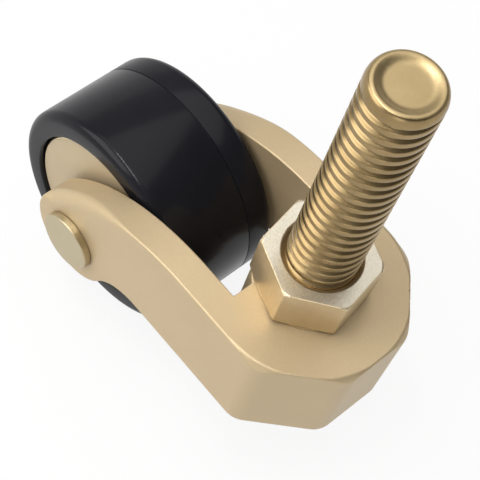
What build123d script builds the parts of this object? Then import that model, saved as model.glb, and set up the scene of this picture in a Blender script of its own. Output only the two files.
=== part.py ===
# Swivel stem castor: threaded stem with lock nut, cast fork on a ball race, one small wheel.
# Millimetres. Z runs up the stem, X points to the faceted front of the fork, Y runs along the axle.
# The origin is on the stem axis at the top face of the lock nut.
import os
from math import atan2, cos, degrees, pi, sin, sqrt
from build123d import *

os.makedirs("parts", exist_ok=True)

# Stem and nut sizes
stem_diameter = 9.525
stem_length = 38.1
stem_tip_cut = 0.9
thread_depth = 1.0
nut_flats = 13.9
nut_height = 7.2
nut_turn = 40.0
nut_sink = 1.1
nut_corner_cut = 0.45
washer_diameter = 14.0
washer_thickness = 0.4

# Fork sizes
arm_thickness = 4.45
base_height = 16.4
base_front = 13.6
front_flat = 10.6
gap_front = -4.2
boss_diameter = 15.0
corner_round = 3.5
edge_cut = 0.4
crown_start = -9.2
arm_end_diameter = 14.1
hollow_radius = 8.2

# Wheel and axle sizes
axle_back = 28.8
axle_drop = 17.8
axle_diameter = 6.0
head_diameter = 8.8
head_height = 1.15
wheel_diameter = 33.4
wheel_width = 17.6
wheel_side_gap = 0.5
shoulder_round = 1.4
hub_disc_diameter = 26.0
hub_disc_thickness = 1.4
hub_disc_recess = 0.5
hub_boss_diameter = 11.6

# Swivel race sizes
neck_diameter = 6.4
ball_diameter = 2.381
race_land = 0.5
race_thickness = 1.3
race_space = 1.3
retainer_rim = 1.8
retainer_thickness = 0.7
foot_rim = 1.1
foot_height = 1.0
foot_bevel = 0.4
foot_recess = 0.7
wall = 1.0

# Clearances
running_gap = 0.04
face_gap = 0.08
free_gap = 0.35
disc_gap = 0.25

# Radii and levels that follow from the sizes
stem_r = stem_diameter / 2
thread_r = stem_r - thread_depth / 2
neck_r = neck_diameter / 2
ball_r = ball_diameter / 2
axle_r = axle_diameter / 2
wheel_r = wheel_diameter / 2
half_wheel = wheel_width / 2
half_gap = half_wheel + wheel_side_gap
half_base = half_gap + arm_thickness
boss_r = boss_diameter / 2
arm_end_r = arm_end_diameter / 2
washer_top = -nut_height
washer_bottom = washer_top - washer_thickness
base_top = washer_bottom - face_gap
base_bottom = base_top - base_height
axle_x = -axle_back
axle_z = base_top - axle_drop
facet_start = base_front + front_flat / 2 - half_base
top_round_r = half_base - edge_cut
corner_reach = half_base / 2
side_reach = axle_back + arm_end_r + wheel_diameter

# Upper line of the arms: one arc from the flat top into the round end about the axle
crown_run = axle_x - crown_start
crown_r = (crown_run**2 + axle_drop**2 - arm_end_r**2) / (2 * (axle_drop - arm_end_r))
crown_z = base_top - crown_r
crown_turn = degrees(atan2(axle_z - crown_z, crown_run)) - 90

# Lower line of the arms: a hollow arc from the round end into the flat underside
hollow_z = base_bottom - hollow_radius
hollow_rise = hollow_z - axle_z
hollow_run = sqrt((arm_end_r + hollow_radius) ** 2 - hollow_rise**2)
hollow_x = axle_x + hollow_run
hollow_turn = degrees(atan2(hollow_rise, hollow_run))

# Levels of the swivel race, from the top down
race_outer_r = neck_r + ball_diameter + 2 * race_land
race_pitch_r = (neck_r + race_outer_r) / 2
ball_count = int(2 * pi * race_pitch_r / (ball_diameter + running_gap))
upper_race_bottom = washer_bottom - race_thickness
ball_z = upper_race_bottom - race_space / 2
lower_race_top = upper_race_bottom - race_space
lower_race_bottom = lower_race_top - race_thickness
retainer_r = neck_r + retainer_rim
pocket_r = retainer_r + free_gap
pocket_depth = face_gap + 2 * retainer_thickness + foot_height + foot_recess
pocket_top = base_bottom + pocket_depth
bush_r = neck_r + wall
bush_top = lower_race_bottom - free_gap
bush_bottom = pocket_top + free_gap
retainer_top = pocket_top - face_gap
foot_top = retainer_top - 2 * retainer_thickness
foot_bottom = foot_top - foot_height
foot_r = neck_r + foot_rim

# Stem: plain shank at the thread's outer radius, pitch radius inside the nut, neck and riveted foot
with BuildPart() as stem:
    with BuildSketch(Plane.XZ):
        with BuildLine():
            Polyline(
                (0, foot_bottom),
                (foot_r - foot_bevel, foot_bottom),
                (foot_r, foot_bottom + foot_bevel),
                (foot_r, foot_top),
                (neck_r, foot_top),
                (neck_r, washer_bottom),
                (thread_r, washer_bottom),
                (thread_r, 0),
                (stem_r, 0),
                (stem_r, stem_length - 1.5 * stem_tip_cut),
                (stem_r - stem_tip_cut, stem_length),
                (0, stem_length),
                close=True,
            )
        make_face()
    revolve(axis=Axis.Z)
    tip_edges = stem.edges().filter_by(GeomType.CIRCLE).group_by(Axis.Z)[-2:]
    fillet(tip_edges[0] + tip_edges[1], stem_tip_cut / 2)
stem.part.label = "stem"
export_step(stem.part, "parts/stem.step")

# Lock nut: hexagon with turned corners and a countersunk bore
nut_corner_r = nut_flats / sqrt(3)
nut_top_r = nut_corner_r - nut_corner_cut * sqrt(3)
with BuildPart() as lock_nut:
    with BuildSketch(Plane.XY.offset(washer_top)):
        RegularPolygon(nut_corner_r, 6, rotation=nut_turn)
        Circle(thread_r, mode=Mode.SUBTRACT)
    extrude(amount=nut_height)
    with BuildSketch(Plane.XZ):
        with BuildLine():
            Polyline(
                (0, washer_top),
                (nut_top_r, washer_top),
                (nut_corner_r, washer_top + nut_corner_cut),
                (nut_corner_r, -nut_corner_cut),
                (nut_top_r, 0),
                (0, 0),
                close=True,
            )
        make_face()
    revolve(axis=Axis.Z, mode=Mode.INTERSECT)
    chamfer(lock_nut.edges().filter_by(GeomType.CIRCLE).filter_by_position(Axis.Z, -0.01, 0.01)
            .sort_by(SortBy.RADIUS)[0], nut_sink)
lock_nut.part.label = "lock_nut"
export_step(lock_nut.part, "parts/lock_nut.step")

# Top washer between the nut and the fork
with BuildPart() as top_washer:
    with BuildSketch(Plane.XY.offset(washer_bottom)):
        Circle(washer_diameter / 2)
        Circle(thread_r, mode=Mode.SUBTRACT)
    extrude(amount=washer_thickness)
top_washer.part.label = "top_washer"
export_step(top_washer.part, "parts/top_washer.step")

# Upper race on the neck, with a ball track below
with BuildPart() as upper_race:
    with BuildSketch(Plane.XZ):
        with Locations(((neck_r + race_outer_r - free_gap) / 2, washer_bottom - race_thickness / 2)):
            Rectangle(race_outer_r - free_gap - neck_r, race_thickness)
        with Locations((race_pitch_r, ball_z)):
            Circle(ball_r + running_gap, mode=Mode.SUBTRACT)
    revolve(axis=Axis.Z)
upper_race.part.label = "upper_race"
export_step(upper_race.part, "parts/upper_race.step")

# Lower race pressed into the fork, with a ball track above
with BuildPart() as lower_race:
    with BuildSketch(Plane.XZ):
        with Locations(((neck_r + free_gap + race_outer_r) / 2, lower_race_top - race_thickness / 2)):
            Rectangle(race_outer_r - free_gap - neck_r, race_thickness)
        with Locations((race_pitch_r, ball_z)):
            Circle(ball_r + running_gap, mode=Mode.SUBTRACT)
    revolve(axis=Axis.Z)
lower_race.part.label = "lower_race"
export_step(lower_race.part, "parts/lower_race.step")

# Race balls: a full loose row that rests in the lower race, one solid each
for number in range(ball_count):
    turn = 2 * pi * number / ball_count
    with BuildPart() as race_ball:
        with Locations((race_pitch_r * cos(turn), race_pitch_r * sin(turn), ball_z)):
            Sphere(ball_r)
    race_ball.part.label = f"race_ball_{number + 1}"
    export_step(race_ball.part, f"parts/race_ball_{number + 1}.step")

# Swivel bush pressed into the fork, running on the neck
with BuildPart() as swivel_bush:
    with BuildSketch(Plane.XY.offset(bush_bottom)):
        Circle(bush_r)
        Circle(neck_r + running_gap, mode=Mode.SUBTRACT)
    extrude(amount=bush_top - bush_bottom)
swivel_bush.part.label = "swivel_bush"
export_step(swivel_bush.part, "parts/swivel_bush.step")

# Thrust washer and retaining washer under the fork, held by the riveted foot
with BuildPart() as thrust_washer:
    with BuildSketch(Plane.XY.offset(retainer_top - retainer_thickness)):
        Circle(retainer_r)
        Circle(neck_r, mode=Mode.SUBTRACT)
    extrude(amount=retainer_thickness)
thrust_washer.part.label = "thrust_washer"
export_step(thrust_washer.part, "parts/thrust_washer.step")

with BuildPart() as retaining_washer:
    with BuildSketch(Plane.XY.offset(foot_top)):
        Circle(retainer_r - 0.2)
        Circle(neck_r, mode=Mode.SUBTRACT)
    extrude(amount=retainer_thickness)
retaining_washer.part.label = "retaining_washer"
export_step(retaining_washer.part, "parts/retaining_washer.step")

# Fork: one casting with two crowned arms and a faceted base
with BuildPart() as fork:
    # Side view of the arms, drawn through the whole width
    with BuildSketch(Plane.XZ):
        with BuildLine():
            Line((0, base_bottom), (0, base_top))
            Line((0, base_top), (crown_start, base_top))
            CenterArc((crown_start, crown_z), crown_r, 90, crown_turn)
            CenterArc((axle_x, axle_z), arm_end_r, 90 + crown_turn, 270 + hollow_turn - crown_turn)
            CenterArc((hollow_x, hollow_z), hollow_radius, 180 + hollow_turn, -90 - hollow_turn)
            Line((hollow_x, base_bottom), (0, base_bottom))
        make_face()
    extrude(amount=half_base, both=True)
    near_edges = fork.faces().sort_by(Axis.Y)[0].edges().filter_by_position(Axis.X, -side_reach, -0.01)
    far_edges = fork.faces().sort_by(Axis.Y)[-1].edges().filter_by_position(Axis.X, -side_reach, -0.01)
    chamfer(near_edges + far_edges, edge_cut)
    # Faceted front, with its lower rim sloped like the arm edges
    with BuildSketch(Plane.XY.offset(base_bottom + edge_cut)) as front_plan:
        with BuildLine():
            Polyline(
                (0, -half_base),
                (facet_start, -half_base),
                (base_front, -front_flat / 2),
                (base_front, front_flat / 2),
                (facet_start, half_base),
                (0, half_base),
                close=True,
            )
        make_face()
        fillet(front_plan.vertices().filter_by_position(Axis.X, 0.01, base_front + 1), corner_round)
    extrude(amount=base_height - edge_cut)
    with BuildSketch(Plane.XY.offset(base_bottom + edge_cut)) as rim_plan:
        with BuildLine():
            Polyline(
                (-2, -half_base),
                (facet_start, -half_base),
                (base_front, -front_flat / 2),
                (base_front, front_flat / 2),
                (facet_start, half_base),
                (-2, half_base),
                close=True,
            )
        make_face()
        fillet(rim_plan.vertices().filter_by_position(Axis.X, 0.01, base_front + 1), corner_round)
    extrude(amount=-edge_cut, taper=45)
    # Turned cone over the front corners
    with BuildSketch(Plane.YZ):
        with BuildLine():
            Polyline(
                (-top_round_r, base_top),
                (-top_round_r - corner_reach, base_top - corner_reach),
                (-top_round_r - corner_reach, base_top),
                close=True,
            )
        make_face()
    revolve(axis=Axis.Z, revolution_arc=180, mode=Mode.SUBTRACT)
    # Gap for the wheel, and the boss that carries the swivel race
    with BuildSketch(Plane.XY.offset(base_top)):
        with Locations((gap_front - side_reach / 2, 0)):
            Rectangle(side_reach, 2 * half_gap)
    extrude(amount=-side_reach, mode=Mode.SUBTRACT)
    with BuildSketch(Plane.XY.offset(base_bottom)):
        Circle(boss_r)
    extrude(amount=base_height)
    # Race seat from above, bush bore, and retainer pocket from below
    with BuildSketch(Plane.XY.offset(base_top)):
        Circle(race_outer_r)
    extrude(amount=lower_race_bottom - base_top, mode=Mode.SUBTRACT)
    with BuildSketch(Plane.XY.offset(base_top)):
        Circle(bush_r)
    extrude(amount=-base_height, mode=Mode.SUBTRACT)
    with BuildSketch(Plane.XY.offset(base_bottom)):
        Circle(pocket_r)
    extrude(amount=pocket_depth, mode=Mode.SUBTRACT)
    # Axle holes through both arms
    with BuildSketch(Plane.XZ):
        with Locations((axle_x, axle_z)):
            Circle(axle_r)
    extrude(amount=half_base, both=True, mode=Mode.SUBTRACT)
fork.part.label = "fork"
export_step(fork.part, "parts/fork.step")

# Axle rivet: flat head on the near arm, formed head on the far arm
axle_line = Plane(origin=(axle_x, 0, axle_z), x_dir=(1, 0, 0), z_dir=(0, -1, 0))
with BuildPart() as axle:
    with BuildSketch(axle_line):
        Circle(axle_r)
    extrude(amount=half_base, both=True)
    with BuildSketch(axle_line.offset(half_base)):
        Circle(head_diameter / 2)
    extrude(amount=head_height)
    near_rim = axle.edges().filter_by(GeomType.CIRCLE).sort_by(Axis.Y)[0]
    fillet(near_rim, head_height * 0.3)
    with BuildSketch(axle_line.offset(-half_base)):
        Circle(head_diameter / 2 - 0.2)
    extrude(amount=-head_height)
    far_rim = axle.edges().filter_by(GeomType.CIRCLE).sort_by(Axis.Y)[-1]
    fillet(far_rim, head_height * 0.75)
axle.part.label = "axle"
export_step(axle.part, "parts/axle.step")

# Axle sleeve clamped between the arms
sleeve_r = axle_r + wall
with BuildPart() as axle_sleeve:
    with BuildSketch(axle_line):
        Circle(sleeve_r)
        Circle(axle_r, mode=Mode.SUBTRACT)
    extrude(amount=half_gap, both=True)
axle_sleeve.part.label = "axle_sleeve"
export_step(axle_sleeve.part, "parts/axle_sleeve.step")

# Axle washers on the sleeve, one against each arm
hub_half = half_wheel
spacer_thickness = half_gap - hub_half - face_gap
with BuildPart() as axle_washer_near:
    with BuildSketch(axle_line.offset(half_gap)):
        Circle(sleeve_r + 2 * wall)
        Circle(sleeve_r, mode=Mode.SUBTRACT)
    extrude(amount=-spacer_thickness)
axle_washer_near.part.label = "axle_washer_near"
export_step(axle_washer_near.part, "parts/axle_washer_near.step")

with BuildPart() as axle_washer_far:
    with BuildSketch(axle_line.offset(-half_gap)):
        Circle(sleeve_r + 2 * wall)
        Circle(sleeve_r, mode=Mode.SUBTRACT)
    extrude(amount=spacer_thickness)
axle_washer_far.part.label = "axle_washer_far"
export_step(axle_washer_far.part, "parts/axle_washer_far.step")

# Wheel bush running on the sleeve
bore_r = sleeve_r + running_gap + wall
with BuildPart() as wheel_bush:
    with BuildSketch(axle_line):
        Circle(bore_r)
        Circle(sleeve_r + running_gap, mode=Mode.SUBTRACT)
    extrude(amount=hub_half, both=True)
wheel_bush.part.label = "wheel_bush"
export_step(wheel_bush.part, "parts/wheel_bush.step")

# Wheel core: hub boss and a web that carries the tyre
disc_outer_y = half_wheel - hub_disc_recess
disc_inner_y = disc_outer_y - hub_disc_thickness
disc_r = hub_disc_diameter / 2
recess_r = disc_r + disc_gap
tyre_seat_r = disc_r - 0.7
with BuildPart() as wheel_core:
    with BuildSketch(axle_line):
        Circle(tyre_seat_r)
        Circle(bore_r, mode=Mode.SUBTRACT)
    extrude(amount=disc_inner_y, both=True)
    with BuildSketch(axle_line):
        Circle(hub_boss_diameter / 2)
        Circle(bore_r, mode=Mode.SUBTRACT)
    extrude(amount=hub_half, both=True)
wheel_core.part.label = "wheel_core"
export_step(wheel_core.part, "parts/wheel_core.step")

# Tyre: a plain tread with rounded shoulders and a recess on each side for the hub disc
with BuildPart() as tyre:
    with BuildSketch(axle_line):
        Circle(wheel_r)
        Circle(tyre_seat_r, mode=Mode.SUBTRACT)
    extrude(amount=half_wheel, both=True)
    for side in (1, -1):
        with BuildSketch(axle_line.offset(side * half_wheel)):
            Circle(recess_r)
        extrude(amount=side * (disc_inner_y - half_wheel), mode=Mode.SUBTRACT)
    rims = tyre.edges().filter_by(GeomType.CIRCLE).group_by(SortBy.RADIUS)[-1]
    fillet(rims, shoulder_round)
tyre.part.label = "tyre"
export_step(tyre.part, "parts/tyre.step")

# Hub discs over the web, one on each side, with a rounded outer rim
with BuildPart() as hub_disc_near:
    with BuildSketch(axle_line.offset(disc_inner_y)):
        Circle(disc_r)
        Circle(hub_boss_diameter / 2, mode=Mode.SUBTRACT)
    extrude(amount=hub_disc_thickness)
    near_disc_rim = hub_disc_near.edges().filter_by(GeomType.CIRCLE).group_by(Axis.Y)[0]
    fillet(near_disc_rim.sort_by(SortBy.RADIUS)[-1], hub_disc_thickness * 0.4)
hub_disc_near.part.label = "hub_disc_near"
export_step(hub_disc_near.part, "parts/hub_disc_near.step")

with BuildPart() as hub_disc_far:
    with BuildSketch(axle_line.offset(-disc_inner_y)):
        Circle(disc_r)
        Circle(hub_boss_diameter / 2, mode=Mode.SUBTRACT)
    extrude(amount=-hub_disc_thickness)
    far_disc_rim = hub_disc_far.edges().filter_by(GeomType.CIRCLE).group_by(Axis.Y)[-1]
    fillet(far_disc_rim.sort_by(SortBy.RADIUS)[-1], hub_disc_thickness * 0.4)
hub_disc_far.part.label = "hub_disc_far"
export_step(hub_disc_far.part, "parts/hub_disc_far.step")
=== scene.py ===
from math import atan2, cos, degrees, pi, radians, sin, sqrt
import bpy
import bmesh
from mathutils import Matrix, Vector


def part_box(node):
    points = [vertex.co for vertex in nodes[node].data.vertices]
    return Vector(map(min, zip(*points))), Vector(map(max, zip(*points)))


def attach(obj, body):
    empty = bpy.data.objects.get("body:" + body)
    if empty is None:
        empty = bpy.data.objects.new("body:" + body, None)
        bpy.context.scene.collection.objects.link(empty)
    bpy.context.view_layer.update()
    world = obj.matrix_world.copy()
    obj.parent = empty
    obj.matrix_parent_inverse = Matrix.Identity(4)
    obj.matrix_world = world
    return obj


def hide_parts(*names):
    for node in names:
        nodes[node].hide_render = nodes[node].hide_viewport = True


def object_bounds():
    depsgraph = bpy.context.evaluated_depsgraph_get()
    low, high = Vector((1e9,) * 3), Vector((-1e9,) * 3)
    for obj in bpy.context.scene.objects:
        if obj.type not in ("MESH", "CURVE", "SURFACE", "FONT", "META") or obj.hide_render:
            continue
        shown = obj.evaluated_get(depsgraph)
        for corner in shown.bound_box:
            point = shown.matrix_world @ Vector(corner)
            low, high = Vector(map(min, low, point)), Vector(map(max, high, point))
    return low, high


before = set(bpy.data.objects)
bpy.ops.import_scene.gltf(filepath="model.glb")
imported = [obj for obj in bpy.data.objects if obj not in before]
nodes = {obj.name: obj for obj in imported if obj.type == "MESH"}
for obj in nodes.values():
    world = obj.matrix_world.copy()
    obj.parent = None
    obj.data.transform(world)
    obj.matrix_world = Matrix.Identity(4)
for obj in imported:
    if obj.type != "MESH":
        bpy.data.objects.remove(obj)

mm = 0.001
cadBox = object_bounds()
print("frame loaded:", len(nodes), "CAD nodes")


# where things are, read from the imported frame
stemLo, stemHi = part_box("stem")
nutLo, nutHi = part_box("lock_nut")
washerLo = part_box("top_washer")[0]
forkLo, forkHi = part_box("fork")
tyreLo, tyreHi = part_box("tyre")
discLo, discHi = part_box("hub_disc_near")
axleLo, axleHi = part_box("axle")
axlePoint = (tyreLo + tyreHi) / 2
wheelCentre = (axlePoint.x, 0, axlePoint.z)
wheelR = (tyreHi.z - tyreLo.z) / 2
halfWheel = tyreHi.y
halfBase = forkHi.y
baseTop = forkHi.z
armEndR = axlePoint.x - forkLo.x


# mesh helpers, with the gaps that they close in metres
meshGaps = {"weld": 1e-7, "sliver": 2e-6}


def eased(share):
    share = min(1.0, max(0.0, share))
    return share * share * (3 - 2 * share)


def arcPoints(centre, radius, startDeg, endDeg, count):
    step = (endDeg - startDeg) / count
    turns = [radians(startDeg + step * i) for i in range(count + 1)]
    return [(centre[0] + radius * cos(t), centre[1] + radius * sin(t)) for t in turns]


def meshObject(name, verts, faces):
    mesh = bpy.data.meshes.new(name)
    mesh.from_pydata(verts, [], faces)
    work = bmesh.new()
    work.from_mesh(mesh)
    bmesh.ops.remove_doubles(work, verts=work.verts, dist=meshGaps["weld"])
    bmesh.ops.recalc_face_normals(work, faces=work.faces)
    work.to_mesh(mesh)
    work.free()
    obj = bpy.data.objects.new(name, mesh)
    bpy.context.scene.collection.objects.link(obj)
    return obj


# ring profile of (radius, height) turned about an axis
# a closed loop makes a ring, an open one gets flat ends if capped
def turnedObject(name, profile, centre, along, segments, closed=False, capped=True):
    verts, faces = [], []
    count = len(profile)
    for radius, height in profile:
        for s in range(segments):
            t = 2 * pi * s / segments
            u, v = radius * cos(t), radius * sin(t)
            point = (u, v, height) if along == "z" else (u, height, v)
            verts.append(Vector(point) + Vector(centre))
    rows = count if closed else count - 1
    for row in range(rows):
        a, b = row * segments, ((row + 1) % count) * segments
        for s in range(segments):
            n = (s + 1) % segments
            faces.append((a + s, a + n, b + n, b + s))
    if capped and not closed:
        for row in (0, count - 1):
            if profile[row][0] > 0:
                faces.append(tuple(row * segments + s for s in range(segments)))
    return meshObject(name, verts, faces)


# flat outline of (x, y) points pushed up from low to high
def pushedObject(name, outline, low, high):
    count = len(outline)
    verts = [(x, y, z) for z in (low, high) for x, y in outline]
    faces = [tuple(range(count)), tuple(range(count, 2 * count))]
    for i in range(count):
        n = (i + 1) % count
        faces.append((i, n, count + n, count + i))
    return meshObject(name, verts, faces)


def combine(base, other, operation):
    step = base.modifiers.new(operation.lower(), "BOOLEAN")
    step.operation = operation
    step.solver = "EXACT"
    step.object = other
    settle(base)
    bpy.data.objects.remove(other)


# the modifiers become the object's own mesh
def settle(obj):
    graph = bpy.context.evaluated_depsgraph_get()
    made = bpy.data.meshes.new_from_object(obj.evaluated_get(graph))
    obj.modifiers.clear()
    old = obj.data
    obj.data = made
    bpy.data.meshes.remove(old)


# slivers go, and faces flatter to each other than the angle become one
def cleanMesh(obj, flatDeg=0.0):
    work = bmesh.new()
    work.from_mesh(obj.data)
    bmesh.ops.remove_doubles(work, verts=work.verts, dist=meshGaps["sliver"])
    bmesh.ops.dissolve_degenerate(work, edges=work.edges, dist=meshGaps["sliver"])
    if flatDeg:
        bmesh.ops.dissolve_limit(work, angle_limit=radians(flatDeg), verts=work.verts, edges=work.edges)
    work.to_mesh(obj.data)
    work.free()


def smoothShade(obj, sharpDeg):
    obj.data.polygons.foreach_set("use_smooth", [True] * len(obj.data.polygons))
    obj.data.set_sharp_from_angle(angle=radians(sharpDeg))


# edges sharper than the limit get a small bevel, and large faces keep their flat shading
def roundEdges(obj, width, limitDeg, rows, leaveOut=None, sharpDeg=35):
    work = bmesh.new()
    work.from_mesh(obj.data)
    weights = work.edges.layers.float.new("bevel_weight_edge")
    for edge in work.edges:
        middle = (edge.verts[0].co + edge.verts[1].co) / 2
        if edge.calc_face_angle(0) > radians(limitDeg) and not (leaveOut and leaveOut(middle)):
            edge[weights] = 1
    work.to_mesh(obj.data)
    work.free()
    bevel = obj.modifiers.new("edge rounding", "BEVEL")
    bevel.limit_method = "WEIGHT"
    bevel.width = width
    bevel.segments = rows
    bevel.use_clamp_overlap = False
    settle(obj)
    cleanMesh(obj)
    smoothShade(obj, sharpDeg)
    normals = obj.modifiers.new("flat faces first", "WEIGHTED_NORMAL")
    normals.keep_sharp = True
    settle(obj)


def finishPiece(obj, material, body, node):
    obj.data.materials.clear()
    obj.data.materials.append(material)
    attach(obj, body)
    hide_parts(node)
    print("piece", obj.name, len(obj.data.polygons), "faces")


# another finish on the faces that the test picks
def secondFinish(obj, material, isPicked):
    obj.data.materials.append(material)
    for face in obj.data.polygons:
        face.material_index = 1 if isPicked(face) else 0


# material helpers

def newMaterial(name):
    material = bpy.data.materials.new(name)
    material.use_nodes = True
    tree = material.node_tree
    shader = tree.nodes["Principled BSDF"]
    return material, tree, shader


def addNode(tree, kind, **settings):
    node = tree.nodes.new(kind)
    for key, value in settings.items():
        setattr(node, key, value)
    return node


def noiseOf(tree, scale, detail, rough, stretch=None):
    place = addNode(tree, "ShaderNodeTexCoord")
    noise = addNode(tree, "ShaderNodeTexNoise")
    noise.inputs["Scale"].default_value = scale
    noise.inputs["Detail"].default_value = detail
    noise.inputs["Roughness"].default_value = rough
    source = place.outputs["Object"]
    if stretch:
        mapping = addNode(tree, "ShaderNodeMapping")
        mapping.inputs["Scale"].default_value = stretch
        tree.links.new(source, mapping.inputs["Vector"])
        source = mapping.outputs["Vector"]
    tree.links.new(source, noise.inputs["Vector"])
    return noise.outputs["Fac"]


# the first and last stop come first, because a new ramp has two
def rampOf(tree, source, stops):
    ramp = addNode(tree, "ShaderNodeValToRGB")
    for i, (position, colour) in enumerate(stops):
        stop = ramp.color_ramp.elements[i] if i < 2 else ramp.color_ramp.elements.new(position)
        stop.position = position
        stop.color = (*colour, 1)
    tree.links.new(source, ramp.inputs["Fac"])
    return ramp.outputs["Color"]


def rangeOf(tree, source, low, high):
    spread = addNode(tree, "ShaderNodeMapRange")
    spread.inputs["To Min"].default_value = low
    spread.inputs["To Max"].default_value = high
    tree.links.new(source, spread.inputs["Value"])
    return spread.outputs["Result"]


def bumpOf(tree, source, strength, depth):
    bump = addNode(tree, "ShaderNodeBump")
    bump.inputs["Strength"].default_value = strength
    bump.inputs["Distance"].default_value = depth
    tree.links.new(source, bump.inputs["Height"])
    return bump.outputs["Normal"]


# what a finish has unless its own look says otherwise
plainLook = {"mottleDetail": 4, "mottleRough": 0.55, "grainDetail": 5, "grainRough": 0.6, "grainDepth": 0.0001,
             "stretch": None, "speckle": 0.3, "darkAt": 0.3, "lightAt": 0.7, "metallic": 1.0, "specular": 0.5,
             "coat": 0.0, "coatRough": 0.1}


# one finish: mottled colour, uneven roughness, fine grain
def makeFinish(name, ownLook):
    look = {**plainLook, **ownLook}
    material, tree, shader = newMaterial(name)
    mottle = noiseOf(tree, look["mottleScale"], look["mottleDetail"], look["mottleRough"])
    grain = noiseOf(tree, look["grainScale"], look["grainDetail"], look["grainRough"], look["stretch"])
    blend = addNode(tree, "ShaderNodeMix")
    blend.inputs["Factor"].default_value = look["speckle"]
    tree.links.new(mottle, blend.inputs["A"])
    tree.links.new(grain, blend.inputs["B"])
    stops = [(look["darkAt"], look["dark"]), (look["lightAt"], look["light"])]
    tree.links.new(rampOf(tree, blend.outputs["Result"], stops), shader.inputs["Base Color"])
    low, high = look["rough"]
    tree.links.new(rangeOf(tree, grain, low, high), shader.inputs["Roughness"])
    tree.links.new(bumpOf(tree, grain, look["bump"], look["grainDepth"]), shader.inputs["Normal"])
    shader.inputs["Metallic"].default_value = look["metallic"]
    shader.inputs["Specular IOR Level"].default_value = look["specular"]
    shader.inputs["Coat Weight"].default_value = look["coat"]
    shader.inputs["Coat Roughness"].default_value = look["coatRough"]
    return material


champagneLook = {"dark": (0.49, 0.375, 0.22), "light": (0.55, 0.425, 0.255), "mottleScale": 60,
                 "grainScale": 2600, "rough": (0.36, 0.54), "bump": 0.18, "metallic": 0.5, "speckle": 0.55}
discLook = {"dark": (0.455, 0.362, 0.222), "light": (0.505, 0.408, 0.26), "mottleScale": 70,
            "grainScale": 2200, "rough": (0.42, 0.54), "bump": 0.12, "metallic": 0.4}
# polished rim: lower roughness, and a colour lighter than the disc paint that is a painted highlight
discRimHighlightLook = {"dark": (0.62, 0.50, 0.31), "light": (0.74, 0.61, 0.40), "mottleScale": 90,
               "grainScale": 2200, "rough": (0.16, 0.26), "bump": 0.04}
rivetLook = {"dark": (0.43, 0.355, 0.215), "light": (0.53, 0.445, 0.285), "mottleScale": 120,
             "grainScale": 1800, "rough": (0.24, 0.38), "bump": 0.16, "metallic": 0.9,
             "stretch": (1, 1, 7), "speckle": 0.6}
stemLook = {"dark": (0.24, 0.164, 0.071), "light": (0.37, 0.269, 0.134), "mottleScale": 160,
            "grainScale": 2200, "rough": (0.24, 0.33), "bump": 0.01, "speckle": 0.15}
# the upward faces of the stem end get a lighter copy of the plating, a painted highlight
stemEndHighlightLook = {"dark": (0.41, 0.305, 0.152), "light": (0.52, 0.392, 0.208), "mottleScale": 160,
               "grainScale": 2200, "rough": (0.30, 0.44), "bump": 0.10}
nutLook = {"dark": (0.61, 0.495, 0.315), "light": (0.74, 0.62, 0.42), "mottleScale": 150,
           "grainScale": 2400, "rough": (0.40, 0.55), "bump": 0.14}
nutFaceLook = {"dark": (0.54, 0.49, 0.385), "light": (0.78, 0.72, 0.59), "mottleScale": 150,
               "grainScale": 3200, "rough": (0.28, 0.46), "bump": 0.3, "speckle": 0.7}
raceLook = {"dark": (0.50, 0.50, 0.50), "light": (0.62, 0.62, 0.62), "mottleScale": 150,
            "grainScale": 2500, "rough": (0.22, 0.36), "bump": 0.08}
ballLook = {"dark": (0.70, 0.70, 0.71), "light": (0.80, 0.80, 0.80), "mottleScale": 200,
            "grainScale": 3000, "rough": (0.06, 0.12), "bump": 0.02, "grainDepth": 0.00005}
bronzeLook = {"dark": (0.42, 0.27, 0.12), "light": (0.54, 0.37, 0.18), "mottleScale": 180,
              "grainScale": 2200, "rough": (0.30, 0.46), "bump": 0.12}
nylonLook = {"dark": (0.72, 0.71, 0.67), "light": (0.80, 0.79, 0.75), "mottleScale": 120,
             "grainScale": 2600, "rough": (0.42, 0.55), "bump": 0.08, "metallic": 0.0}
tyreLook = {"dark": (0.0065, 0.0065, 0.0085), "light": (0.0095, 0.0095, 0.0125), "mottleScale": 90,
            "grainScale": 2400, "rough": (0.24, 0.34), "bump": 0.03, "metallic": 0.0,
            "specular": 0.05, "coat": 0.24, "coatRough": 0.17, "speckle": 0.1}
coreLook = {"dark": (0.014, 0.014, 0.016), "light": (0.020, 0.020, 0.023), "mottleScale": 90,
            "grainScale": 2400, "rough": (0.40, 0.52), "bump": 0.10, "metallic": 0.0}

champagnePaint = makeFinish("champagne paint", champagneLook)
discPaint = makeFinish("hub disc paint", discLook)
discRimHighlight = makeFinish("polished disc rim with painted highlight", discRimHighlightLook)
rivetMetal = makeFinish("axle rivet metal", rivetLook)
stemPlating = makeFinish("yellow stem plating", stemLook)
stemEndHighlight = makeFinish("stem end painted highlight", stemEndHighlightLook)
nutPlating = makeFinish("nut plating", nutLook)
nutFace = makeFinish("ground nut face", nutFaceLook)
raceSteel = makeFinish("ground race steel", raceLook)
ballSteel = makeFinish("polished ball steel", ballLook)
bushBronze = makeFinish("bush bronze", bronzeLook)
washerNylon = makeFinish("washer nylon", nylonLook)
tyreBlack = makeFinish("tyre black", tyreLook)
coreBlack = makeFinish("wheel core black", coreLook)
print("materials made")


# stem: rolled thread with round crests, smooth rounded tip with a dished end, neck and riveted foot
# the pitch is as wide as the ridges look, crests and roots are shares of it
stemSizes = {"pitch": 1.8 * mm, "threadDepth": 0.52 * mm, "crestHalf": 0.18, "rootHalf": 0.05,
             "threadStart": -1.5 * mm, "fadeLift": 1.0 * mm, "rowsPerPitch": 18, "stepsPerRow": 8,
             "tipRound": 1.6 * mm, "endFlatR": 4.0 * mm, "dishDepth": 0.42 * mm, "dishSlope": 0.34,
             "dishRows": 16, "coreR": 4.2 * mm, "neckR": 3.2 * mm, "footR": 4.3 * mm,
             "footHeight": 1.0 * mm, "footBevel": 0.4 * mm, "sharpDeg": 50, "endHighlightTilt": 0.9}


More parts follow.
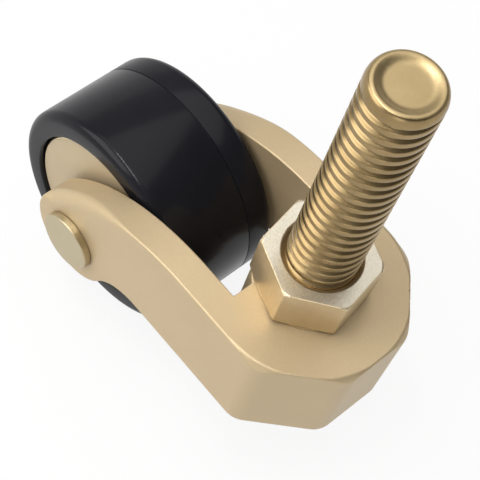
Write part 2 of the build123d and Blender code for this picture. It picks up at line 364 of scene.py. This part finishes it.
# 0 at the root, 1 along the crest, with eased flanks
def threadHeight(phase, sizes):
    flankEnd = 0.5 - sizes["rootHalf"]
    return eased((flankEnd - abs(phase - 0.5)) / (flankEnd - sizes["crestHalf"]))


def makeStem(sizes):
    stemR = (stemHi.x - stemLo.x) / 2
    top, bottom = stemHi.z, stemLo.z
    roundStart = top - sizes["tipRound"]
    pitch, stepsPerRow = sizes["pitch"], sizes["stepsPerRow"]
    rowStep = pitch / sizes["rowsPerPitch"]
    segments = sizes["rowsPerPitch"] * stepsPerRow
    turns = [2 * pi * s / segments for s in range(segments)]

    def tipRadius(z):
        share = max(0.0, (z - roundStart) / sizes["tipRound"])
        return stemR - (stemR - sizes["endFlatR"]) * (1 - sqrt(max(0.0, 1 - share * share)))

    def rings(rows):
        return [(radius * cos(t), radius * sin(t), z) for radius, z in rows for t in turns]

    # plain rows of (radius, height) below the thread, then the thread's heights, then the dished end
    footTop = bottom + sizes["footHeight"]
    below = [(0, bottom), (sizes["footR"] - sizes["footBevel"], bottom),
             (sizes["footR"], bottom + sizes["footBevel"]), (sizes["footR"], footTop),
             (sizes["neckR"], footTop), (sizes["neckR"], washerLo.z),
             (sizes["coreR"], washerLo.z), (sizes["coreR"], sizes["threadStart"])]
    threadRows = int((top - sizes["threadStart"]) / rowStep)
    heights = [sizes["threadStart"] + row * rowStep for row in range(1, threadRows)]
    dish = []
    for row in range(sizes["dishRows"] + 1):
        share = row / sizes["dishRows"]
        dip = sizes["dishDepth"] * eased(share / sizes["dishSlope"])
        dish.append((sizes["endFlatR"] * (1 - share), top - dip))

    verts = rings(below)
    for z in heights:
        fade = eased((roundStart + sizes["fadeLift"] - z) / pitch)
        for s, t in enumerate(turns):
            # each row climbs with the helix until the row above takes over
            height = z + fade * rowStep * (s % stepsPerRow) / stepsPerRow
            phase = ((height - sizes["threadStart"]) / pitch - s / segments) % 1.0
            cut = sizes["threadDepth"] * fade * (1 - threadHeight(phase, sizes))
            radius = min(tipRadius(height), stemR - cut)
            verts.append((radius * cos(t), radius * sin(t), height))
    verts += rings(dish)

    def corner(row, s):
        return row * segments + s % segments

    # upright band of faces; with a lift of one it joins each row to the row above
    def band(rows, s, lift):
        return [(corner(row, s), corner(row + lift, s + 1),
                 corner(row + lift + 1, s + 1), corner(row + 1, s)) for row in rows]

    first, last = len(below), len(below) + len(heights) - 1
    total = len(below) + len(heights) + len(dish)
    faces = []
    for s in range(segments):
        faces += band(range(first), s, 0) + band(range(last, total - 1), s, 0)
        if (s + 1) % stepsPerRow:
            faces += band(range(first, last), s, 0)
        else:
            faces += band(range(first, last - 1), s, 1)
            faces.append((corner(first, s), corner(first, s + 1), corner(first + 1, s + 1)))
            faces.append((corner(last - 1, s), corner(last, s + 1), corner(last, s)))
    stem = meshObject("threaded_stem", verts, faces)
    smoothShade(stem, sizes["sharpDeg"])
    finishPiece(stem, stemPlating, "stem", "stem")
    # faces at the end that look up get the lighter copy of the plating, a painted highlight
    secondFinish(stem, stemEndHighlight, lambda face: face.normal.z > sizes["endHighlightTilt"] and face.center.z > roundStart)


makeStem(stemSizes)


# lock nut: hexagon with turned corners, countersunk bore and slightly eased edges
nutSizes = {"flats": 13.9 * mm, "turnDeg": 40, "cornerCut": 0.24 * mm, "boreR": 4.26 * mm, "sink": 1.1 * mm,
            "spare": 1 * mm, "segments": 144, "flatDeg": 0.2, "edge": 0.14 * mm, "edgeDeg": 20, "edgeRows": 2,
            "faceTilt": 0.95}


def makeNut(sizes):
    slope = sqrt(3)  # the corners are turned off at 30 degrees
    cornerR = sizes["flats"] / sqrt(3)
    topR = cornerR - sizes["cornerCut"] * slope
    boreR, sink, spare = sizes["boreR"], sizes["sink"], sizes["spare"]
    low, high = nutLo.z, nutHi.z
    drop = sizes["cornerCut"] + spare / slope
    turned = [(boreR, low), (topR, low), (cornerR + spare, low + drop), (cornerR + spare, high - drop),
              (topR, high), (boreR + sink, high), (boreR, high - sink)]
    nut = turnedObject("lock_nut_body", turned, (0, 0, 0), "z", sizes["segments"], closed=True)
    corners = [radians(sizes["turnDeg"] + 60 * i) for i in range(6)]
    hexagon = [(cornerR * cos(t), cornerR * sin(t)) for t in corners]
    combine(nut, pushedObject("hexagon", hexagon, low - spare, high + spare), "INTERSECT")
    cleanMesh(nut, sizes["flatDeg"])
    roundEdges(nut, sizes["edge"], sizes["edgeDeg"], sizes["edgeRows"])
    finishPiece(nut, nutPlating, "stem", "lock_nut")
    secondFinish(nut, nutFace, lambda face: abs(face.normal.z) > sizes["faceTilt"])


makeNut(nutSizes)


# fork: a plate of the side view with rounded rims, cut to the faceted plan and the wheel gap round the boss
forkSizes = {"baseHeight": 16.4 * mm, "frontFlat": 10.6 * mm, "cornerRound": 3.5 * mm, "gapFront": -4.2 * mm,
             "bossR": 7.5 * mm, "crownStart": -9.2 * mm, "hollowR": 8.2 * mm, "wheelSideGap": 0.5 * mm,
             "topCut": 0.14 * mm, "topEase": 0.3 * mm, "topLift": 0.0015 * mm,
             "rim": 0.28 * mm, "softRim": 1.8 * mm, "softReach": 11 * mm, "softRise": 2.2 * mm,
             "seatR": 6.581 * mm, "seatDepth": 3.82 * mm, "bushR": 4.2 * mm, "pocketR": 5.35 * mm,
             "pocketDepth": 3.18 * mm, "axleR": 3.0 * mm, "spare": 2 * mm, "gapSpare": 3 * mm, "flatDeg": 0.2,
             "edge": 0.24 * mm, "edgeDeg": 34, "edgeRows": 3, "plainEdgeX": 2.5 * mm, "plainEdgeY": 1 * mm}
# how finely its curves are divided
forkSteps = {"crown": 48, "armEnd": 72, "hollow": 40, "corner": 10, "boss": 40, "rim": 6, "ease": 8,
             "cone": 240, "bores": 96, "axleHole": 64}


def sideOutline(sizes):
    baseBottom = baseTop - sizes["baseHeight"]
    ax, az = axlePoint.x, axlePoint.z
    drop = baseTop - az
    run = ax - sizes["crownStart"]
    crownR = (run**2 + drop**2 - armEndR**2) / (2 * (drop - armEndR))
    crownZ = baseTop - crownR
    meetDeg = degrees(atan2(az - crownZ, run))
    hollowZ = baseBottom - sizes["hollowR"]
    rise = hollowZ - az
    reach = sqrt((armEndR + sizes["hollowR"]) ** 2 - rise**2)
    hollowX = ax + reach
    hollowDeg = degrees(atan2(rise, reach))
    front = forkHi.x + sizes["spare"]
    outline = [(front, baseBottom), (front, baseTop)]
    outline += arcPoints((sizes["crownStart"], crownZ), crownR, 90, meetDeg, forkSteps["crown"])
    outline += arcPoints((ax, az), armEndR, meetDeg, 360 + hollowDeg, forkSteps["armEnd"])[1:]
    outline += arcPoints((hollowX, hollowZ), sizes["hollowR"], 180 + hollowDeg, 90, forkSteps["hollow"])[1:]
    return outline


def roundCorner(before, corner, after, radius, count):
    inward = [(Vector(p) - Vector(corner)).normalized() for p in (before, after)]
    half = inward[0].angle(inward[1]) / 2
    middle = Vector(corner) + (inward[0] + inward[1]).normalized() * (radius / sin(half))
    first = Vector(corner) + inward[0] * (radius * cos(half) / sin(half)) - middle
    last = Vector(corner) + inward[1] * (radius * cos(half) / sin(half)) - middle
    startDeg = degrees(atan2(first.y, first.x))
    turnDeg = degrees(atan2(first.x * last.y - first.y * last.x, first.dot(last)))
    return arcPoints(middle, radius, startDeg, startDeg + turnDeg, count)


def planOutline(sizes):
    back = forkLo.x - sizes["spare"]
    front, flat = forkHi.x, sizes["frontFlat"] / 2
    facetStart = front + flat - halfBase
    points = [(back, -halfBase), (facetStart, -halfBase), (front, -flat), (front, flat),
              (facetStart, halfBase), (back, halfBase)]
    outline = [points[0]]
    for before, corner, after in zip(points, points[1:], points[2:]):
        outline += roundCorner(before, corner, after, sizes["cornerRound"], forkSteps["corner"])
    return outline + [points[-1]]


def gapOutline(sizes):
    half = halfWheel + sizes["wheelSideGap"]
    front, bossR = sizes["gapFront"], sizes["bossR"]
    meetDeg = degrees(atan2(sqrt(bossR**2 - front**2), front))
    back = forkLo.x - sizes["gapSpare"]
    outline = [(back, half), (front, half)]
    outline += arcPoints((0, 0), bossR, meetDeg, 360 - meetDeg, forkSteps["boss"])
    return outline + [(front, -half), (back, -half)]


# side view pushed across the fork; the rim is fine along the base and broad over the axle
def armPlate(sizes):
    outline = [Vector(p) for p in sideOutline(sizes)]
    count = len(outline)
    inset, rims = [], []
    for i, point in enumerate(outline):
        along = (outline[(i + 1) % count] - outline[i - 1]).normalized()
        inset.append(Vector((-along.y, along.x)))
        fromAxle = point - Vector((axlePoint.x, axlePoint.z))
        share = eased(1 - fromAxle.x / sizes["softReach"]) * eased(fromAxle.y / sizes["softRise"] - 1)
        rims.append(sizes["rim"] + (sizes["softRim"] - sizes["rim"]) * share)
    rows = forkSteps["rim"]
    steps = [(-1, rows - row) for row in range(rows + 1)] + [(1, row) for row in range(rows + 1)]
    verts, faces = [], []
    for side, row in steps:
        turn = pi / 2 * row / rows
        for point, inward, rim in zip(outline, inset, rims):
            place = point + inward * rim * (1 - cos(turn))
            verts.append((place.x, side * (halfBase - rim * (1 - sin(turn))), place.y))
    for row in range(len(steps) - 1):
        a, b = row * count, (row + 1) * count
        for i in range(count):
            n = (i + 1) % count
            faces.append((a + i, a + n, b + n, b + i))
    last = (len(steps) - 1) * count
    faces += [tuple(range(count)), tuple(range(last, last + count))]
    return meshObject("cast_fork", verts, faces)


# ring that turns the top of the front corners at 45 degrees, easing out of the flat top
def cornerCone(sizes):
    topR, ease, spare = halfBase - sizes["topCut"], sizes["topEase"], sizes["spare"]
    easeR = ease / (sqrt(2) - 1)
    bend = arcPoints((topR - ease, baseTop + sizes["topLift"] - easeR), easeR, 90, 45, forkSteps["ease"])
    slopeR, slopeZ = bend[-1]
    ring = bend + [(slopeR + 3 * spare, slopeZ - 3 * spare), (slopeR + 3 * spare, baseTop + spare),
                   (bend[0][0], baseTop + spare)]
    cone = turnedObject("corner_cone", ring, (0, 0, 0), "z", forkSteps["cone"], closed=True)
    reach = 2 * halfBase
    front = [(0, -reach), (reach, -reach), (reach, reach), (0, reach)]
    frontHalf = pushedObject("front_half", front, baseTop - reach, baseTop + reach)
    combine(cone, frontHalf, "INTERSECT")
    return cone


def makeFork(sizes):
    spare = sizes["spare"]
    low, high = forkLo.z - spare, forkHi.z + spare
    fork = armPlate(sizes)
    combine(fork, pushedObject("plan", planOutline(sizes), low, high), "INTERSECT")
    combine(fork, cornerCone(sizes), "DIFFERENCE")
    combine(fork, pushedObject("gap", gapOutline(sizes), low, high), "DIFFERENCE")
    # race seat, bush bore, retainer pocket and axle hole
    seatR, bushR, pocketR = sizes["seatR"], sizes["bushR"], sizes["pocketR"]
    seatFloor = baseTop - sizes["seatDepth"]
    pocketTop = baseTop - sizes["baseHeight"] + sizes["pocketDepth"]
    bores = [(0, high), (seatR, high), (seatR, seatFloor), (bushR, seatFloor), (bushR, pocketTop),
             (pocketR, pocketTop), (pocketR, low), (0, low)]
    combine(fork, turnedObject("swivel_bores", bores, (0, 0, 0), "z", forkSteps["bores"]), "DIFFERENCE")
    axleR, reach = sizes["axleR"], halfBase + spare
    through = [(0, -reach), (axleR, -reach), (axleR, reach), (0, reach)]
    axleHole = turnedObject("axle_hole", through, wheelCentre, "y", forkSteps["axleHole"])
    combine(fork, axleHole, "DIFFERENCE")
    cleanMesh(fork, sizes["flatDeg"])

    # the arm rims and the cone run into each other here and need no bevel
    def rimStart(point):
        return abs(point.x) < sizes["plainEdgeX"] and abs(point.y) > halfBase - sizes["plainEdgeY"]

    roundEdges(fork, sizes["edge"], sizes["edgeDeg"], sizes["edgeRows"], rimStart)
    finishPiece(fork, champagnePaint, "fork", "fork")


makeFork(forkSizes)


# tyre: plain tread with round shoulders, a recess on both sides and a moulding line off the middle
tyreSizes = {"shoulder": 1.4 * mm, "recessR": 13.14 * mm, "seatR": 12.3 * mm, "innerLip": 0.25 * mm,
             "lineY": 4.31 * mm, "lineHalf": 0.11 * mm, "lineDepth": 0.14 * mm, "lineLip": 0.06 * mm,
             "floorShare": 0.3, "lipShare": 0.3, "shoulderSteps": 14, "lipSteps": 5, "segments": 224,
             "sharpDeg": 35}


def makeTyre(sizes):
    shoulder, lip, recessR = sizes["shoulder"], sizes["innerLip"], sizes["recessR"]
    shoulderSteps, lipSteps = sizes["shoulderSteps"], sizes["lipSteps"]
    profile = [(sizes["seatR"], discHi.y), (recessR, discHi.y)]
    profile += arcPoints((recessR + lip, -halfWheel + lip), lip, 180, 270, lipSteps)
    profile += arcPoints((wheelR - shoulder, -halfWheel + shoulder), shoulder, 270, 360, shoulderSteps)
    y, half, edge = sizes["lineY"], sizes["lineHalf"], sizes["lineLip"]
    lineFloor, floorHalf = wheelR - sizes["lineDepth"], half * sizes["floorShare"]
    lipR = wheelR - sizes["lipShare"] * edge
    profile += [(wheelR, y - half - edge), (lipR, y - half), (lineFloor, y - floorHalf),
                (lineFloor, y + floorHalf), (lipR, y + half), (wheelR, y + half + edge)]
    profile += arcPoints((wheelR - shoulder, halfWheel - shoulder), shoulder, 0, 90, shoulderSteps)
    profile += arcPoints((recessR + lip, halfWheel - lip), lip, 90, 180, lipSteps)
    profile += [(recessR, -discHi.y), (sizes["seatR"], -discHi.y)]
    tyre = turnedObject("black_tyre", profile, wheelCentre, "y", sizes["segments"], closed=True)
    smoothShade(tyre, sizes["sharpDeg"])
    finishPiece(tyre, tyreBlack, "wheel", "tyre")


makeTyre(tyreSizes)


# hub discs: flat plates with a rounded and polished outer rim, whose lighter rim colour is a painted highlight
discSizes = {"rim": 0.5 * mm, "holeR": 5.8 * mm, "rimSteps": 10, "segments": 192, "sharpDeg": 40,
             "rimHighlightTilt": (0.2, 0.95)}


def makeDisc(sizes, side, name, node):
    outerR = (discHi.x - discLo.x) / 2
    inner, outer = abs(discHi.y), abs(discLo.y)
    rim = sizes["rim"]
    curve = arcPoints((outerR - rim, outer - rim), rim, 0, 90, sizes["rimSteps"])
    profile = [(sizes["holeR"], side * inner), (outerR, side * inner)]
    profile += [(r, side * h) for r, h in curve]
    profile += [(sizes["holeR"], side * outer)]
    disc = turnedObject(name, profile, wheelCentre, "y", sizes["segments"], closed=True)
    smoothShade(disc, sizes["sharpDeg"])
    finishPiece(disc, discPaint, "wheel", node)
    # the rim faces, picked by their tilt, get the polished finish whose lighter colour is a painted highlight
    low, high = sizes["rimHighlightTilt"]
    secondFinish(disc, discRimHighlight, lambda face: low < abs(face.normal.y) < high)


makeDisc(discSizes, -1, "near_hub_disc", "hub_disc_near")
makeDisc(discSizes, 1, "far_hub_disc", "hub_disc_far")


# axle rivet: flat near head with a rounded edge, domed far head
rivetSizes = {"shankR": 3.0 * mm, "bevel": 0.2 * mm, "flatInset": 1.6, "farTrim": 0.2 * mm,
              "farRound": 0.85 * mm, "seamDepth": 0.3 * mm, "seamHeight": 0.12 * mm, "bevelSteps": 6,
              "farSteps": 10, "segments": 128, "sharpDeg": 30}


def makeRivet(sizes):
    headR = (axleHi.x - axleLo.x) / 2
    bevel, shankR = sizes["bevel"], sizes["shankR"]
    farR, farRound = headR - sizes["farTrim"], sizes["farRound"]
    profile = [(0, axleLo.y), (headR - bevel * sizes["flatInset"], axleLo.y)]
    profile += arcPoints((headR - bevel, axleLo.y + bevel), bevel, 270, 360, sizes["bevelSteps"])
    seamY, seamR = -halfBase - sizes["seamHeight"], headR - sizes["seamDepth"]
    profile += [(headR, seamY), (seamR, seamY), (seamR, -halfBase), (shankR, -halfBase),
                (shankR, halfBase), (farR, halfBase)]
    profile += arcPoints((farR - farRound, axleHi.y - farRound), farRound, 0, 90, sizes["farSteps"])
    profile += [(0, axleHi.y)]
    rivet = turnedObject("axle_rivet", profile, wheelCentre, "y", sizes["segments"])
    smoothShade(rivet, sizes["sharpDeg"])
    finishPiece(rivet, rivetMetal, "fork", "axle")


makeRivet(rivetSizes)


# CAD pieces that keep their own shape
keptFinishes = {"top_washer": nutPlating, "upper_race": raceSteel, "lower_race": raceSteel,
                "retaining_washer": raceSteel, "thrust_washer": washerNylon, "swivel_bush": bushBronze,
                "wheel_bush": bushBronze, "axle_sleeve": raceSteel, "axle_washer_near": raceSteel,
                "axle_washer_far": raceSteel, "wheel_core": coreBlack}
keptFinishes.update({node: ballSteel for node in nodes if node.startswith("race_ball")})
for node, finish in keptFinishes.items():
    nodes[node].data.materials.clear()
    nodes[node].data.materials.append(finish)
print("kept CAD pieces finished:", len(keptFinishes))


# pale floor that runs up into a round backdrop, in metres
# camera, glossy and transmission rays see most of it as plain white, and the rest keeps the shadow
floorSizes = {"flatR": 2.4, "bendR": 0.6, "wallHeight": 0.8, "drop": 0.02 * mm, "bendSteps": 12,
              "segments": 96, "sharpDeg": 40, "colour": (0.8, 0.8, 0.8), "rough": 0.9, "whiteShare": 0.88}


def makeFloor(sizes):
    flatR, bendR = sizes["flatR"], sizes["bendR"]
    level = cadBox[0].z - sizes["drop"]
    sweep = [(0, 0)] + arcPoints((flatR, bendR), bendR, 270, 360, sizes["bendSteps"])
    sweep += [(flatR + bendR, sizes["wallHeight"])]
    floor = turnedObject("studio_floor", sweep, (0, 0, level), "z", sizes["segments"], capped=False)
    smoothShade(floor, sizes["sharpDeg"])
    material, tree, shader = newMaterial("pale floor")
    shader.inputs["Base Color"].default_value = (*sizes["colour"], 1)
    shader.inputs["Roughness"].default_value = sizes["rough"]
    shader.inputs["Specular IOR Level"].default_value = 0.0
    glow = addNode(tree, "ShaderNodeEmission")
    path = addNode(tree, "ShaderNodeLightPath")
    mix = addNode(tree, "ShaderNodeMixShader")
    share = addNode(tree, "ShaderNodeMath", operation="MULTIPLY")
    share.inputs[1].default_value = sizes["whiteShare"]
    seen = path.outputs["Is Camera Ray"]
    for ray in ("Is Glossy Ray", "Is Transmission Ray"):
        either = addNode(tree, "ShaderNodeMath", operation="MAXIMUM")
        tree.links.new(seen, either.inputs[0])
        tree.links.new(path.outputs[ray], either.inputs[1])
        seen = either.outputs["Value"]
    tree.links.new(seen, share.inputs[0])
    tree.links.new(share.outputs["Value"], mix.inputs["Fac"])
    tree.links.new(shader.outputs["BSDF"], mix.inputs[1])
    tree.links.new(glow.outputs["Emission"], mix.inputs[2])
    tree.links.new(mix.outputs["Shader"], tree.nodes["Material Output"].inputs["Surface"])
    floor.data.materials.append(material)


makeFloor(floorSizes)


# each lamp: place in metres, width, height, watts; all point at the middle of the castor
lampSizes = {"overhead": ((-0.20, 0.12, 0.70), 0.80, 0.80, 2.3),
             "edge_strip": ((-0.12, -0.19, 0.70), 0.48, 0.05, 1.9),
             "left_front": ((-0.36, -0.46, 0.34), 0.60, 0.50, 3.1),
             "front_low": ((0.34, -0.44, 0.17), 0.22, 0.22, 0.25)}


def makeLamps(sizes):
    aim = (cadBox[0] + cadBox[1]) / 2
    for name, (place, width, height, watts) in sizes.items():
        lamp = bpy.data.lights.new(name, "AREA")
        lamp.shape = "RECTANGLE"
        lamp.size, lamp.size_y = width, height
        lamp.energy = watts
        obj = bpy.data.objects.new(name, lamp)
        obj.location = place
        obj.rotation_euler = (aim - Vector(place)).to_track_quat("-Z", "Y").to_euler()
        bpy.context.scene.collection.objects.link(obj)


makeLamps(lampSizes)


# soft surround, palest to the camera's left and falling away to its right
# the shades are (place along that way, grey level), the first and last one first
surroundSizes = {"tiltDeg": 25.5, "turnDeg": 33.7,
                 "shades": [(0.0, 0.5), (0.8, 0.14), (0.22, 0.55), (0.36, 0.4), (0.5, 0.18)]}


def makeSurround(sizes):
    world = bpy.data.worlds.new("studio surround")
    bpy.context.scene.world = world
    world.use_nodes = True
    tree = world.node_tree
    tree.nodes.clear()
    place = addNode(tree, "ShaderNodeTexCoord")
    turn = addNode(tree, "ShaderNodeMapping", vector_type="TEXTURE")
    turn.inputs["Rotation"].default_value = (0, radians(sizes["tiltDeg"]), radians(sizes["turnDeg"]))
    split = addNode(tree, "ShaderNodeSeparateXYZ")
    spread = addNode(tree, "ShaderNodeMapRange")
    spread.inputs["From Min"].default_value = -1
    soft = addNode(tree, "ShaderNodeBackground")
    tree.links.new(place.outputs["Generated"], turn.inputs["Vector"])
    tree.links.new(turn.outputs["Vector"], split.inputs["Vector"])
    tree.links.new(split.outputs["X"], spread.inputs["Value"])
    greys = [(at, (level, level, level)) for at, level in sizes["shades"]]
    tree.links.new(rampOf(tree, spread.outputs["Result"], greys), soft.inputs["Color"])
    out = addNode(tree, "ShaderNodeOutputWorld")
    tree.links.new(soft.outputs["Background"], out.inputs["Surface"])


makeSurround(surroundSizes)


# camera at the photo's angle
cameraSizes = {"place": (40.55 * mm, -91.84 * mm, 168.43 * mm), "turnDeg": (28.171, -10.762, 48.834),
               "lens": 119.3, "sensor": 36, "clipStart": 0.01}


def makeCamera(sizes):
    data = bpy.data.cameras.new("photo camera")
    data.lens = sizes["lens"]
    data.sensor_width = sizes["sensor"]
    data.clip_start = sizes["clipStart"]
    obj = bpy.data.objects.new("photo camera", data)
    obj.location = sizes["place"]
    obj.rotation_euler = [radians(t) for t in sizes["turnDeg"]]
    bpy.context.scene.collection.objects.link(obj)
    bpy.context.scene.camera = obj


makeCamera(cameraSizes)
bpy.context.scene.view_settings.view_transform = "Standard"
print("stage, lamps and camera set")
